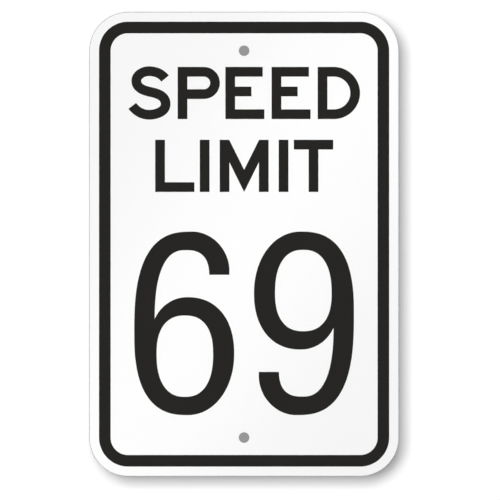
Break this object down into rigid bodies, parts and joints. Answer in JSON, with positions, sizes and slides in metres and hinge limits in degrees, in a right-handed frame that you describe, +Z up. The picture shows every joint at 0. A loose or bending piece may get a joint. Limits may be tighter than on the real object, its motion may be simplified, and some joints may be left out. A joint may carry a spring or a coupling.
{
  "type": "speed limit sign",
  "caption": "Flat upright rectangular road sign with rounded corners, a white reflective face, a black border and bolt holes on its centreline, for fixing to a post.",
  "frame": {"origin": "centre of the back face, the flat that lies against the post", "axes": "+Z up along the sign's height, +X to the reader's right, the face looks along -Y and the back along +Y"},
  "size_m": [0.3048, 0.0019, 0.4572],
  "materials": {
    "aluminium": "mill finish sheet with punched edges",
    "white_sheeting": "smooth reflective sheeting",
    "black_film": "satin opaque film"
  },
  "bodies": {
    "root": {"aluminium_blank": "aluminium", "reflective_sheeting": "white_sheeting", "border_film": "black_film"}
  },
  "joints": []
}
